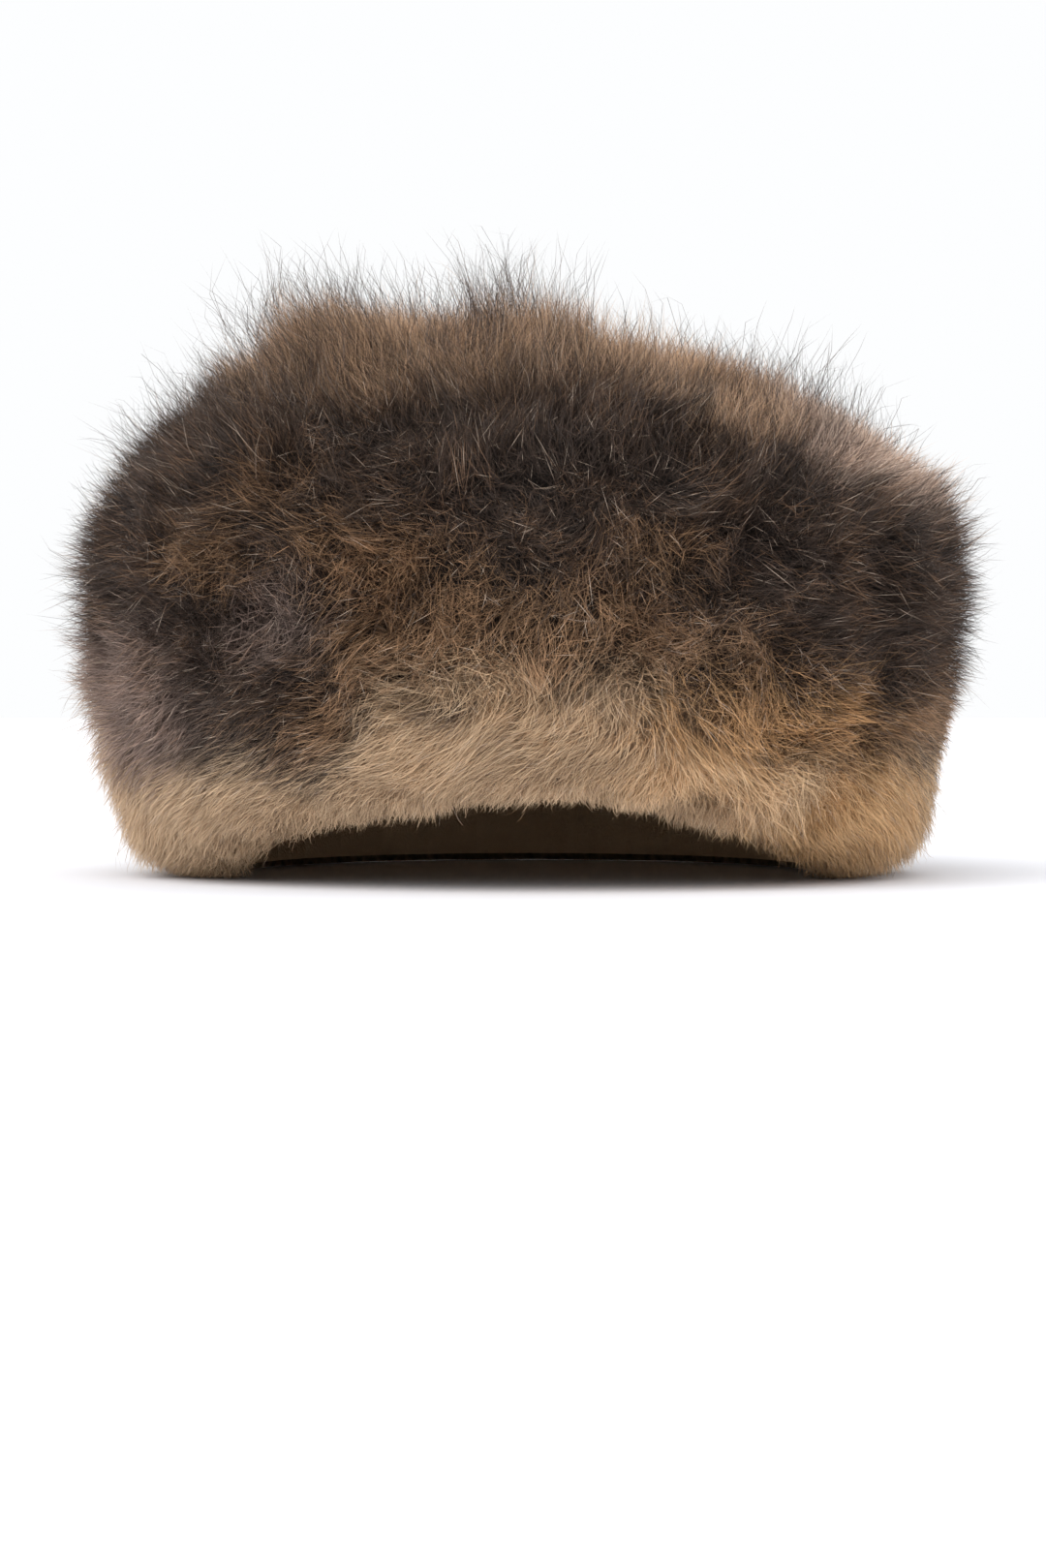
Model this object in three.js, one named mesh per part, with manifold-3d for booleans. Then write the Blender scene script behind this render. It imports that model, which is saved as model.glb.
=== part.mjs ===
// A deep fur hat, resting on its rim: a side band of pelt closed by an oval crown of the same pelt.
// Millimetres, +Z up. The brow side faces -Y, and the origin is on the ground under the hat's middle.
// Each pelt is a thin skin that carries a deep coat. The coat is a hollow or domed mass of hair with
// pointed locks fused to it, and the locks give the outline its ragged, combed form.
import * as THREE from "three";
import { mergeVertices } from "three/addons/utils/BufferGeometryUtils.js";
import Module from "manifold-3d";

const wasm = await Module();
wasm.setup();

// Skin and fit
const SKIN_THICKNESS = 2.5;
const PIECE_GAP = 0.3;
const CROWN_RISE = 5; // how far the middle of the crown skin stands above its seam
const RIM_CLEARANCE = 2.5; // how far the skin's edge stays above the ground, which only hair touches

// The rim is cut higher over the brow, and lies flat on the ground everywhere else.
const BROW_LIFT = 26;
const BROW_SPREAD = THREE.MathUtils.degToRad(78); // half the arc over which the rim comes back down
const BROW_FLATNESS = 0.75; // below 1 the cut is flatter over the brow and steeper beside it
const BROW_FADE_HEIGHT = 75; // the lift dies out at this height

// Fineness of the surfaces
const OVAL_SEGMENTS = 32;
const LOCK_SIDES = 3;

// The hollow for the head, from the rim up to the crown seam.
const HOLLOW = [
  { height: 0, halfWidth: 79, halfDepth: 96.5 },
  { height: 40, halfWidth: 79.5, halfDepth: 97 },
  { height: 74, halfWidth: 77, halfDepth: 94.5 },
  { height: 95, halfWidth: 71, halfDepth: 88 },
  { height: 107, halfWidth: 60, halfDepth: 76 },
];

// The coat's surface between its locks, from the ground up. The hair is brushed up towards the
// wearer's right, which carries the top of the coat to that side.
const COAT = [
  { height: 0, halfWidth: 95, halfDepth: 111, shift: 0 },
  { height: 6, halfWidth: 107, halfDepth: 122, shift: 0 },
  { height: 18, halfWidth: 114, halfDepth: 129, shift: 0 },
  { height: 44, halfWidth: 118, halfDepth: 133, shift: 0 },
  { height: 72, halfWidth: 121, halfDepth: 136, shift: 0 },
  { height: 89, halfWidth: 121, halfDepth: 136, shift: 0 },
  { height: 103, halfWidth: 115, halfDepth: 130, shift: -1 },
  { height: 115, halfWidth: 103, halfDepth: 118, shift: -3 },
  { height: 127, halfWidth: 85, halfDepth: 100, shift: -5 },
  { height: 136, halfWidth: 62, halfDepth: 76, shift: -8 },
  { height: 141, halfWidth: 36, halfDepth: 44, shift: -11 },
  { height: 143, halfWidth: 0, halfDepth: 0, shift: -13 },
];
const BAND_TOP = 8; // the row of COAT at which the band's coat ends and the crown's begins

// Rows of locks. The hair is combed back from the brow: front and back give the way a row is combed at
// the brow and at the nape, from -1 (down to the rim) to 1 (up to the crown). Tip is how far a point
// stands clear of the coat, and reach is how far a lock lies along it.
const BAND_LOCKS = [
  { height: 15, count: 25, front: -1, back: -1, tip: 7, reach: 30, width: 20 },
  { height: 35, count: 25, front: -1, back: -1, tip: 8, reach: 34, width: 20 },
  { height: 55, count: 25, front: -0.6, back: -1, tip: 8, reach: 34, width: 20 },
  { height: 74, count: 25, front: 0.2, back: -0.9, tip: 8, reach: 34, width: 20 },
  { height: 91, count: 25, front: 0.8, back: -0.8, tip: 9, reach: 34, width: 20 },
  { height: 106, count: 24, front: 1, back: -0.8, tip: 10, reach: 32, width: 20 },
  { height: 118, count: 22, front: 1, back: -0.8, tip: 11, reach: 30, width: 19 },
];
// On the crown a share gives how far out from its middle a ring of locks stands.
const CROWN_LOCKS = [
  { share: 0.9, count: 17, front: 1, back: -1, tip: 11, reach: 34, width: 22 },
  { share: 0.62, count: 12, front: 1, back: -1, tip: 11, reach: 36, width: 24 },
  { share: 0.34, count: 7, front: 1, back: -1, tip: 10, reach: 36, width: 24 },
  { share: 0.06, count: 2, front: 1, back: -1, tip: 10, reach: 36, width: 24 },
];
const LOCK_ROOT = 4; // how deep a lock starts below the coat's surface
const LOCK_START = 0.4; // how much of its reach lies behind its place in the row
const LOCK_THICKNESS = 0.34; // as a share of its width
const BACKWARD_COMB = 0.9; // how strongly the hair at the sides is combed towards the back
const BELOW_CROWN = 30; // the size of the cutter that keeps lock roots out of the hollow
const PARTING_OVERRUN = 6; // how far the cutters run on past the pieces they cut
const ABOVE_ALL = 90; // further up than any lock reaches
const GROUND_DEPTH = 60; // the size of the cutter that keeps the coat above the ground
const GROUND_WIDTH = 400;
const SHORTEST_TIP = 4;
const PARTING_LEAN = 1.6; // above the coat the parting leans back by this much for each millimetre up

// Tall tufts on the outline: places seen from above, and how much they add to a lock's tip.
const TUFTS = [
  { x: -8, y: -50, radius: 26, extra: 10 },
  { x: -56, y: -44, radius: 30, extra: 9 },
  { x: -94, y: -10, radius: 26, extra: 4 },
  { x: 40, y: -50, radius: 26, extra: -3 },
];
const TUFT_HEIGHT = 100; // tufts rise only above this height

// A repeatable spread of numbers from -1 to 1, so that no two locks are alike.
function vary(row, place, channel) {
  const wave = Math.sin(row * 12.9898 + place * 78.233 + channel * 37.719) * 43758.5453;
  return 2 * (wave - Math.floor(wave)) - 1;
}

// The rim's lift at a point, measured round from the brow.
function browLift(x, y, height) {
  const turn = Math.abs(Math.atan2(x, -y));
  if (turn > BROW_SPREAD || height > BROW_FADE_HEIGHT) return 0;
  const around = (0.5 * (1 + Math.cos((Math.PI * turn) / BROW_SPREAD))) ** BROW_FLATNESS;
  return BROW_LIFT * around * (1 - height / BROW_FADE_HEIGHT) ** 2;
}

function liftBrow(geometry) {
  const position = geometry.getAttribute("position");
  for (let i = 0; i < position.count; i++) {
    const [x, y, z] = [position.getX(i), position.getY(i), position.getZ(i)];
    position.setZ(i, z + browLift(x, y, z));
  }
  return geometry;
}

// Turns a run of oval sections into a surface of revolution, then gives each ring its own oval.
function ovalLathe(sections) {
  const profile = sections.map((s) => new THREE.Vector2(s.halfWidth, s.height));
  const geometry = new THREE.LatheGeometry(profile, OVAL_SEGMENTS);
  const position = geometry.getAttribute("position");
  for (let i = 0; i < position.count; i++) {
    const section = sections[i % sections.length];
    const turn = (2 * Math.PI * Math.floor(i / sections.length)) / OVAL_SEGMENTS;
    const x = (section.shift ?? 0) + section.halfWidth * Math.sin(turn);
    const y = (section.back ?? 0) - section.halfDepth * Math.cos(turn);
    position.setXYZ(i, x, y, section.height);
  }
  return geometry;
}

// Moves a wall's sections along its normal, so that the wall keeps one thickness.
function offsetSections(sections, distance) {
  return sections.map((section, i) => {
    const before = sections[Math.max(i - 1, 0)];
    const after = sections[Math.min(i + 1, sections.length - 1)];
    const rise = after.height - before.height;
    const run = after.halfWidth - before.halfWidth;
    const length = Math.hypot(rise, run);
    const out = (distance * rise) / length;
    const up = i === 0 ? 0 : (-distance * run) / length;
    return {
      height: section.height + up,
      halfWidth: section.halfWidth + out,
      halfDepth: section.halfDepth + out,
    };
  });
}

// A section that is wider or narrower than another all round.
function widen(section, distance) {
  return {
    ...section,
    halfWidth: section.halfWidth + distance,
    halfDepth: section.halfDepth + distance,
  };
}

// The middle of a section, where a surface closes.
function onAxis(section) {
  return { ...section, halfWidth: 0, halfDepth: 0 };
}

function solidFrom(geometry) {
  const bare = geometry.clone();
  bare.deleteAttribute("normal");
  bare.deleteAttribute("uv");
  const merged = mergeVertices(bare, 1e-3);
  const solid = new wasm.Manifold(
    new wasm.Mesh({
      numProp: 3,
      vertProperties: merged.getAttribute("position").array,
      triVerts: new Uint32Array(merged.getIndex().array),
    }),
  );
  if (solid.volume() < 0) throw new Error("a surface faces inwards");
  return solid;
}

function geometryFrom(solid) {
  const { vertProperties, triVerts } = solid.getMesh();
  const geometry = new THREE.BufferGeometry();
  geometry.setAttribute("position", new THREE.BufferAttribute(vertProperties, 3));
  geometry.setIndex(new THREE.BufferAttribute(triVerts, 1));
  geometry.computeVertexNormals();
  return geometry;
}

// The coat's surface at a height and a turn from the brow: a point, and the directions out from the
// surface, up along it and round it.
function coatAt(height, turn) {
  const upper = Math.max(1, COAT.findIndex((s) => s.height >= height));
  const [low, high] = [COAT[upper - 1], COAT[upper]];
  const between = (key) => THREE.MathUtils.mapLinear(height, low.height, high.height, low[key], high[key]);
  const [halfWidth, halfDepth] = [between("halfWidth"), between("halfDepth")];
  const level = new THREE.Vector3(Math.sin(turn) / halfWidth, -Math.cos(turn) / halfDepth, 0).normalize();
  const slope = Math.atan2(low.halfWidth - high.halfWidth, high.height - low.height);
  const out = level.clone().multiplyScalar(Math.cos(slope)).setZ(Math.sin(slope));
  const up = level.clone().multiplyScalar(-Math.sin(slope)).setZ(Math.cos(slope));
  const point = new THREE.Vector3(
    between("shift") + halfWidth * Math.sin(turn),
    -halfDepth * Math.cos(turn),
    height,
  );
  return { point, out, up, round: new THREE.Vector3().crossVectors(up, out) };
}

// The height at which the crown's coat has shrunk to a share of its width at the parting.
function crownHeightAt(share) {
  const target = COAT[BAND_TOP].halfWidth * share;
  const inner = COAT.findIndex((s, i) => i > BAND_TOP && s.halfWidth <= target);
  const [low, high] = [COAT[inner - 1], COAT[inner]];
  return THREE.MathUtils.mapLinear(target, low.halfWidth, high.halfWidth, low.height, high.height);
}

function tuftExtra(point) {
  if (point.z < TUFT_HEIGHT) return 0;
  return TUFTS.reduce((sum, tuft) => {
    const distance = Math.hypot(point.x - tuft.x, point.y - tuft.y) / tuft.radius;
    return sum + tuft.extra * Math.exp(-distance * distance);
  }, 0);
}

// One pointed lock: a three-sided spindle, ridged on top. It starts inside the coat, lies along it and
// curves away from it towards the tip.
function makeLock(row, rowIndex, place, height) {
  const spread = (channel) => vary(rowIndex, place, channel);
  const turn = (2 * Math.PI * (place + 0.5 * (rowIndex % 2) + 0.2 * spread(1))) / row.count;
  const { point: root, out, up, round } = coatAt(height + 2 * spread(2), turn);
  const rise = THREE.MathUtils.lerp(row.front, row.back, 0.5 * (1 - Math.cos(turn)));
  const comb = up.clone().multiplyScalar(rise + 0.2 * spread(3));
  comb.addScaledVector(round, BACKWARD_COMB * Math.sin(turn) + 0.35 * spread(4)).normalize();

  const tip = Math.max(SHORTEST_TIP, row.tip * (1 + 0.25 * spread(5)) + tuftExtra(root));
  const reach = row.reach * (1 + 0.15 * spread(6));
  const width = row.width * (1 + 0.1 * spread(7));
  const profile = [
    new THREE.Vector2(0, 0),
    new THREE.Vector2(width, 0.36),
    new THREE.Vector2(0.62 * width, 0.72),
    new THREE.Vector2(0, 1),
  ];
  const geometry = new THREE.LatheGeometry(profile, LOCK_SIDES);
  const position = geometry.getAttribute("position");
  for (let i = 0; i < position.count; i++) {
    const along = position.getY(i);
    const lift = (LOCK_ROOT + tip) * along * along;
    position.setZ(i, position.getZ(i) * LOCK_THICKNESS + lift);
  }
  const side = new THREE.Vector3().crossVectors(comb, out).normalize();
  const start = root.clone().addScaledVector(out, -LOCK_ROOT).addScaledVector(comb, -LOCK_START * reach);
  const frame = new THREE.Matrix4().makeBasis(side, comb.clone().multiplyScalar(reach), out);
  return geometry.applyMatrix4(frame.setPosition(start));
}

function locksOn(rows, heightOf) {
  return rows.flatMap((row, rowIndex) =>
    Array.from({ length: row.count }, (_, place) => makeLock(row, rowIndex, place, heightOf(row))),
  );
}

// The surface that parts the band's coat from the crown's. It opens upwards from the seam to the coat's
// surface, and from there it leans back as the hair does, so that locks lie over it whole.
const seam = offsetSections(HOLLOW, SKIN_THICKNESS).at(-1);
const coatSeam = { ...seam, height: seam.height + PIECE_GAP };
const coatParting = COAT[BAND_TOP];

function partingSolid(distance) {
  const inner = { ...widen(coatSeam, distance), height: coatSeam.height - PARTING_OVERRUN };
  const top = { ...widen(coatParting, distance), height: coatParting.height + ABOVE_ALL };
  top.back = PARTING_LEAN * ABOVE_ALL;
  const rows = [inner, widen(coatSeam, distance), widen(coatParting, distance), top];
  return solidFrom(ovalLathe([onAxis(inner), ...rows, onAxis(top)]));
}

function groundBox() {
  const box = new THREE.BoxGeometry(GROUND_WIDTH, GROUND_WIDTH, GROUND_DEPTH);
  return solidFrom(box.translate(0, 0, -GROUND_DEPTH / 2));
}

// Side band, skin: the inner face, then back down the outer face.
function bandSkin() {
  const inner = [{ ...HOLLOW[0], height: RIM_CLEARANCE }, ...HOLLOW.slice(1)];
  const outer = offsetSections(inner, SKIN_THICKNESS);
  const loop = [...outer, ...inner.toReversed(), outer[0]];
  return solidFrom(liftBrow(ovalLathe(loop)));
}

// Side band, coat: up the outer face to the parting, then down against the skin.
function bandCoat() {
  const outer = COAT.slice(0, BAND_TOP + 1);
  const againstSkin = offsetSections(HOLLOW, SKIN_THICKNESS + PIECE_GAP);
  const loop = [...outer, ...againstSkin.toReversed(), outer[0]];
  const mass = solidFrom(liftBrow(ovalLathe(loop)));
  const locks = locksOn(BAND_LOCKS, (row) => row.height).map((lock) => solidFrom(liftBrow(lock)));
  const mouth = { ...againstSkin[0], height: -GROUND_DEPTH / 2 };
  const opening = [onAxis(mouth), mouth, ...againstSkin, onAxis(againstSkin.at(-1))];
  const hollow = solidFrom(liftBrow(ovalLathe(opening)));
  return wasm.Manifold.union([mass, ...locks])
    .subtract(partingSolid(PIECE_GAP / 2))
    .subtract(hollow)
    .subtract(groundBox());
}

// A dome over the seam, raised by a height: its sections run from the edge to the middle.
function crownDome(edge, raised) {
  return [1, 0.75, 0.4, 0].map((reach) => ({
    height: edge.height + raised + CROWN_RISE * (1 - reach * reach),
    halfWidth: edge.halfWidth * reach,
    halfDepth: edge.halfDepth * reach,
  }));
}

function crownSkin() {
  const edge = widen(HOLLOW.at(-1), -PIECE_GAP);
  const loop = [...crownDome(edge, 0).toReversed(), ...crownDome(edge, SKIN_THICKNESS)];
  return solidFrom(ovalLathe(loop));
}

function crownCoat() {
  const edge = { ...widen(coatSeam, -PIECE_GAP), height: HOLLOW.at(-1).height };
  const under = crownDome(edge, SKIN_THICKNESS + PIECE_GAP);
  const mass = solidFrom(ovalLathe([...under.toReversed(), ...COAT.slice(BAND_TOP)]));
  const locks = locksOn(CROWN_LOCKS, (row) => crownHeightAt(row.share)).map(solidFrom);
  const flange = widen(under[0], BELOW_CROWN);
  const floor = { ...flange, height: flange.height - BELOW_CROWN };
  const below = solidFrom(ovalLathe([onAxis(floor), floor, flange, ...under]));
  return wasm.Manifold.union([mass, ...locks])
    .intersect(partingSolid(-PIECE_GAP / 2))
    .subtract(below);
}

const matt = (color, roughness) => new THREE.MeshStandardMaterial({ color, roughness, metalness: 0 });
const skinMaterial = matt(0xa98d6c, 0.85);

function piece(name, solid, material) {
  const mesh = new THREE.Mesh(geometryFrom(solid), material);
  mesh.name = name;
  return mesh;
}

const hat = new THREE.Group();
hat.add(
  piece("band_skin", bandSkin(), skinMaterial),
  piece("band_fur", bandCoat(), matt(0x4b3a2e, 0.95)),
  piece("crown_skin", crownSkin(), skinMaterial),
  piece("crown_fur", crownCoat(), matt(0x5c4737, 0.95)),
);

// The combed locks reach further at the nape, so the hat moves until its origin is under its middle.
const middle = new THREE.Box3().setFromObject(hat).getCenter(new THREE.Vector3());
hat.position.set(-middle.x, -middle.y, 0);

export default hat;
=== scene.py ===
# A deep fur hat that rests on its rim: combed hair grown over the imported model's side band and crown.
# Blender works in metres. Sizes are written in millimetres and turned into metres by MM. The brow
# faces -Y, and +Z is up.
import math

import bmesh
import bpy
import numpy as np
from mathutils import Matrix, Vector


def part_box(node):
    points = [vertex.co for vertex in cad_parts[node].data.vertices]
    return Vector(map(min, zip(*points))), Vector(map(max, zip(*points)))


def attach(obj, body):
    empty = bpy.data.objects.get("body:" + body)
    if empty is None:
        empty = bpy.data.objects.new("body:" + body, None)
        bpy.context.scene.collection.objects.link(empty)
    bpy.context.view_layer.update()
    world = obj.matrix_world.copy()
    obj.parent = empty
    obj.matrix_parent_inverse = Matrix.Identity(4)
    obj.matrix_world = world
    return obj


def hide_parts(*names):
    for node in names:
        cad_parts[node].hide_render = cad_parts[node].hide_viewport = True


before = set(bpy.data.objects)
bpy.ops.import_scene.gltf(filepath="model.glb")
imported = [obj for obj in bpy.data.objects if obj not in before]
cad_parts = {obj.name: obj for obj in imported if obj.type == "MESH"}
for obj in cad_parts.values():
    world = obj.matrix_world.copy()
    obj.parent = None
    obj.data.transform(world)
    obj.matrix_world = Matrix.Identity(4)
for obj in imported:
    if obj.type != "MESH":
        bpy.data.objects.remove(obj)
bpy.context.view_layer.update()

MM = 0.001

# The band's skin stands round the head, so its middle is the middle of the hat's ovals.
skin_low, skin_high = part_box("band_skin")
AXIS_X, AXIS_Y = (skin_low.x + skin_high.x) / 2, (skin_low.y + skin_high.y) / 2

# The undercoat's surface, in millimetres: the hair stands on it. Each row is an oval round the hat.
UNDERCOAT = [
    # height, half width, half depth, shift towards +X
    (3.0, 84, 101, 0),
    (1.5, 89, 105, 0),
    (4.5, 97, 113, 0),
    (15.0, 106, 121, 0),
    (40.0, 112, 127, 0),
    (68.0, 114, 129, 0),
    (88.0, 114, 129, 0),
    (102.0, 108, 123, -1),
    (113.0, 96, 111, -3),
    (122.0, 79, 94, -6),
    (129.0, 59, 73, -10),
    (133.5, 38, 47, -13),
    (136.0, 16, 20, -15),
    (136.4, 0.5, 0.6, -15),
]
ROWS_PER_GAP = 4  # rows filled in from one of these to the next
SEAM_ROW = 9 * ROWS_PER_GAP  # the filled row where the band ends and the crown begins
AROUND = 192  # points round each row
# The undercoat's inside: the band's from its top to its rim, the crown's from its middle outwards.
BAND_INNER = [
    (110, 64.6, 80.6, 0),
    (95, 74.8, 91.8, 0),
    (74, 80.4, 97.9, 0),
    (40, 83, 100.4, 0),
    (0.5, 82.4, 99.9, 0),
]
CROWN_UNDER = [(115.2, 0.5, 0.6, 0), (113.5, 42, 54, 0), (110.5, 61, 77, 0)]

# The rim is cut higher over the brow.
BROW_LIFT = 26
BROW_SPREAD = math.radians(78)  # how far round to each side the cut reaches
BROW_FLATNESS = 0.75  # below 1, the cut is flatter in the middle and steeper at its ends
BROW_FADE_HEIGHT = 75  # above this height nothing is raised


def brow_lift(x, y, z):
    """How far the cut over the brow raises a point, in millimetres."""
    turn = np.abs(np.arctan2(x, -y))
    around = (0.5 * (1 + np.cos(math.pi * np.clip(turn / BROW_SPREAD, 0, 1)))) ** BROW_FLATNESS
    fade = np.clip(1 - z / BROW_FADE_HEIGHT, 0, None) ** 2
    return BROW_LIFT * around * fade


def smooth_rows(rows, per_gap):
    """Rows of an outline, filled in along smooth curves that pass through each of them."""
    rows = np.array(rows, float)
    padded = np.vstack([2 * rows[0] - rows[1], rows, 2 * rows[-1] - rows[-2]])
    filled = []
    for i in range(1, len(padded) - 2):
        before, start, end, after = padded[i - 1 : i + 3]
        for t in np.arange(per_gap) / per_gap:
            bend = 2 * before - 5 * start + 4 * end - after
            twist = 3 * start - before - 3 * end + after
            filled.append(start + 0.5 * t * (end - before + t * (bend + t * twist)))
    return np.array(filled + [rows[-1]])


def oval_grid(rows):
    """Points in millimetres on each row's oval: an array of rows by turns by three."""
    turn = 2 * math.pi * np.arange(AROUND) / AROUND
    height, half_width, half_depth, shift = (rows[:, i : i + 1] for i in range(4))
    x = shift + half_width * np.sin(turn)
    y = -half_depth * np.cos(turn)
    z = height + 0 * turn
    return np.stack([x, y, z + brow_lift(x, y, z)], axis=2)


def unit(vectors):
    """The vectors with their lengths made 1."""
    return vectors / np.maximum(np.linalg.norm(vectors, axis=-1, keepdims=True), 1e-9)


def step(low, high, value):
    """0 at low and 1 at high, with a soft climb between. Low may be the larger of the two."""
    t = np.clip((value - low) / (high - low), 0, 1)
    return t * t * (3 - 2 * t)


def mound(value, middle, width):
    """1 at the middle, with a soft fall to 0 on both sides."""
    return np.exp(-(((value - middle) / width) ** 2))


coat_rows = smooth_rows(UNDERCOAT, ROWS_PER_GAP)
coat_grid = oval_grid(coat_rows)
last_row = len(coat_grid) - 1
along_row = np.roll(coat_grid, -1, axis=1) - np.roll(coat_grid, 1, axis=1)
up_rows = np.gradient(coat_grid, axis=0)
coat_out = unit(np.cross(along_row, up_rows))

# How the hair is combed. At the front it fans out from the middle of the brow, and it runs back over
# the sides and the crown and down at the nape. In pairs of numbers, a change begins at the first of
# them and is complete at the second. Out is the way that the surface faces, in parts from -1 to 1.
FAN_X, FAN_Z = 22, 98
FAN_WIDTH, FAN_HEIGHT = 76, 50
RIM_PARTING_X, RIM_PARTING_WIDTH = 44, 26
BRUSHED_DOWN = 0.45
FLAT_HEIGHTS = (66, 36)
RIGHT_FRONT_X, RIGHT_FRONT_Y, RIGHT_FRONT_DROP = (25, 62), (-60, -85), 30  # the flat band is lower here
SIDE_TURN_Z, SIDE_TURN_HIGH = 78, 55  # on the sides it runs upwards above this height, downwards below
SIDE_BACK, SIDE_RISE, SIDE_APART = 0.8, 0.9, 0.12
SWEPT_HEIGHTS, SWEPT_X = (94, 112), (60, 10)  # up here it is swept to the left
SWEPT_LEFT, SWEPT_LESS_RISE = 1.1, 0.6
CROWN_FLOW = (-0.35, 0.8)  # over the crown, along X and Y


def flat_hair(points):
    """1 in the band along the rim, where the hair lies flat and even, and 0 above it."""
    x, y, z = np.moveaxis(points, -1, 0)
    lowered = RIGHT_FRONT_DROP * step(*RIGHT_FRONT_X, x) * step(*RIGHT_FRONT_Y, y)
    return step(*FLAT_HEIGHTS, z + lowered)


def loose_hair(points, out):
    """1 at the front above that band, where the hair is woolly and stands any way."""
    return step(0.2, -0.5, out[..., 1]) * (1 - flat_hair(points))


def comb_direction(points, out):
    """The way in which the hair is combed at each point, along the surface. Its length is at most 1."""
    x, y, z = np.moveaxis(points, -1, 0)
    facing_front = step(0.1, 0.95, -out[..., 1])[..., None]
    facing_up = step(0.55, 0.95, out[..., 2])[..., None]
    at_back = step(0.2, 0.9, out[..., 1])
    zero = np.zeros_like(x)
    fan = np.stack([(x - FAN_X) / FAN_WIDTH, zero, (z - FAN_Z) / FAN_HEIGHT], axis=-1)
    parting = np.tanh((x - RIM_PARTING_X) / RIM_PARTING_WIDTH)
    brushed = np.stack([parting, zero, zero - BRUSHED_DOWN], axis=-1)
    fan = fan + (brushed - fan) * flat_hair(points)[..., None]
    rise = np.clip((z - SIDE_TURN_Z) / SIDE_TURN_HIGH, -1, 0.8) * (1 - at_back) - 0.8 * at_back
    swept = step(*SWEPT_HEIGHTS, z) * step(*SWEPT_X, x) * step(0.1, -0.4, out[..., 1])
    sideways = SIDE_APART * np.sign(x) - SWEPT_LEFT * swept
    backwards = zero + SIDE_BACK - SIDE_BACK * swept
    upwards = (SIDE_RISE - SWEPT_LESS_RISE * swept) * rise
    back = np.stack([sideways, backwards, upwards], axis=-1)
    over = np.stack([zero + CROWN_FLOW[0], zero + CROWN_FLOW[1], zero], axis=-1)
    flow = fan * facing_front + back * (1 - facing_front)
    flow = flow * (1 - facing_up) + over * facing_up
    flow = flow - out * np.sum(flow * out, axis=-1, keepdims=True)
    return flow / np.maximum(np.linalg.norm(flow, axis=-1, keepdims=True), 1)


# The hair stands in a tall crest over the brow, left of the middle, with tufts in it. In millimetres.
TOP_HEIGHTS = (98, 118)  # between these the sides give way to the top
CREST_LEFT_X, CREST_RIGHT_X = (-92, -56), (21, 9)
CREST_Y, CREST_DEPTH = -62, 34
TALLEST = 177
# Tufts on the top: place seen from above, radius and added length.
TUFTS = [
    (-5, -60, 12, 3),
    (-55, -60, 14, 4),
    (-24, -58, 11, -4),
    (-106, -30, 14, -5),
    (-80, -50, 18, -3),
    (30, -50, 24, -4),
    (62, -45, 26, -5),
    (91, -35, 14, -8),
    (110, -30, 13, 5),
]
# Middles and widths along X of the crest's two shoulders, and of two wisps on it.
SHOULDERS = [(80, 34), (-98, 16)]
WISPS = [(-52, 11), (-8, 9)]

# The coat's length, and what is added to it or taken from it at these places, in millimetres.
COAT_LENGTH = 17
ABOVE_RIM_HEIGHTS, ABOVE_RIM_MORE = (20, 60), 2
ON_TOP_MORE, ON_CREST_MORE = 0.5, 2
# Down the right side it is shorter, most of all at the waist.
RIGHT_X, RIGHT_LOWER, RIGHT_UPPER, RIGHT_LESS = (80, 115), (12, 40), (94, 70), 5
RIGHT_WAIST_Z, RIGHT_WAIST_HIGH, RIGHT_WAIST_LESS = 54, 12, 3
LOW_LEFT_X, LOW_LEFT_HEIGHTS, LOW_LEFT_MORE = (-95, -118), (66, 46), 3.5
# At the rim it is clipped to this share of its length.
CLIPPED_HEIGHTS, CLIPPED_SHARE = (0, 18), 0.5

# How many times longer than the coat the guard hairs are, and how much more at these places.
GUARD_LENGTH = 1.08
GUARD_TOP_HEIGHTS, GUARD_TOP_MORE = (96, 122), 0.68
GUARD_CREST_MORE, GUARD_SHOULDER_MORE = 0.3, 0.5
GUARD_BACK_SHARE = 0.2  # of what is added on the top, where it faces back
GUARD_LOW_LEFT_HEIGHTS, GUARD_LOW_LEFT_MORE = (70, 50), 0.3

# How much wider apart the coat stands towards the back, on the band and on the top.
BAND_THINNING = [((-100, -60), 0.25), ((-10, 80), 0.15)]
TOP_THINNING = ((-30, 30), 0.46)
# How many times closer the guard hairs stand, added to 1.
CREST_CROWDING, WISP_CROWDING, SHOULDER_CROWDING = 4, 6, 3

# Where a hair's tip lies, as shares of its length outwards, along the comb and, on the crown, upwards.
REACH_OUT, REACH_COMBED, REACH_UP = 0.76, 0.45, 0.22
FLAT_OUT_LESS, FLAT_COMBED_MORE, LOOSE_COMBED_LESS = 0.2, 0.3, 0.25
LEAVE_OUT, LEAVE_COMBED, LEAVE_UP = 0.5, 0.1, 0.1  # the same for how it leaves the surface
UPRIGHT_HEIGHTS = (110, 128)  # between these the hair of the crown begins to stand up


def top_share(points):
    """1 on the hat's top, 0 on its sides."""
    return step(*TOP_HEIGHTS, points[..., 2])


def brow_side(out):
    """1 on the side that faces forwards, 0 on the side that faces back."""
    return step(0.3, -0.3, out[..., 1])


def crest(points):
    """1 on the crest over the brow, 0 elsewhere."""
    x, y, z = np.moveaxis(points, -1, 0)
    across = step(*CREST_LEFT_X, x) * step(*CREST_RIGHT_X, x)
    return across * mound(y, CREST_Y, CREST_DEPTH) * top_share(points)


def shoulders(points):
    """1 to the left and the right of the crest, 0 elsewhere."""
    return sum(mound(points[..., 0], middle, width) for middle, width in SHOULDERS)


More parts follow.
